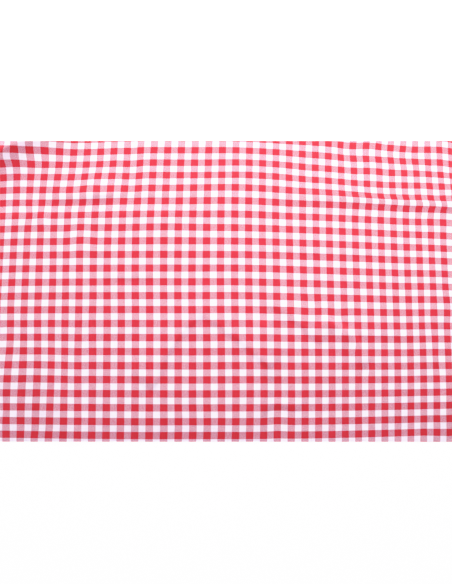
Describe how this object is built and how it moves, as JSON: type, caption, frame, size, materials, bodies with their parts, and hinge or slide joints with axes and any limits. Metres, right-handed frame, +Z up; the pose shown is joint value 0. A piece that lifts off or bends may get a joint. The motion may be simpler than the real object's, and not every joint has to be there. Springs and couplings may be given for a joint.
{
  "type": "checked cotton cloth length",
  "caption": "Cut length of plain-weave red and white gingham cotton lying flat in soft folds, for covering or sewing.",
  "frame": {"origin": "middle of the footprint, on the surface that the cloth lies on", "axes": "+X along the weft threads, +Y along the warp threads, +Z up from the surface"},
  "size_m": [0.4316, 0.2892, 0.0235],
  "materials": {
    "checked_cotton": "plain-weave cotton, red and white checks, matt"
  },
  "bodies": {
    "root": {"checked_cloth": "checked_cotton"}
  },
  "joints": []
}
